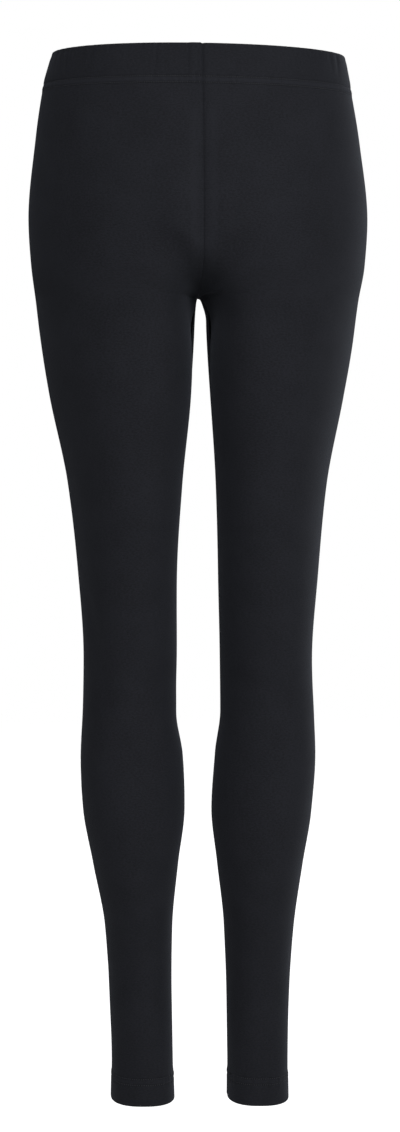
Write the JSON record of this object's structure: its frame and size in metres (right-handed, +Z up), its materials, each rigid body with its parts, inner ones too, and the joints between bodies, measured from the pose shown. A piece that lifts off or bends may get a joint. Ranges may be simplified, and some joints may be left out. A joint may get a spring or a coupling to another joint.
{
  "type": "leggings",
  "caption": "Plain black ankle-length jersey leggings in worn form, hollow, with an elastic waist casing, centre seams, inseams and twin-needle hems.",
  "frame": {"origin": "centre of the waistband ring at half its height, where the wearer's waist holds the leggings", "axes": "+Z up through the waist opening, the front faces -Y and the back +Y, +X is the wearer's left"},
  "size_m": [0.31, 0.217, 0.9627],
  "materials": {
    "jersey": "matt cotton and elastane single jersey, faint soft sheen",
    "waistband_jersey": "the same jersey doubled over a 30 mm elastic, slightly puckered, two rows of stitching",
    "hem_jersey": "the same jersey turned up once, two rows of stitching"
  },
  "bodies": {
    "root": {"leg_left": "jersey", "leg_right": "jersey", "waistband_left": "waistband_jersey", "waistband_right": "waistband_jersey", "hem_left": "hem_jersey", "hem_right": "hem_jersey"}
  },
  "joints": []
}
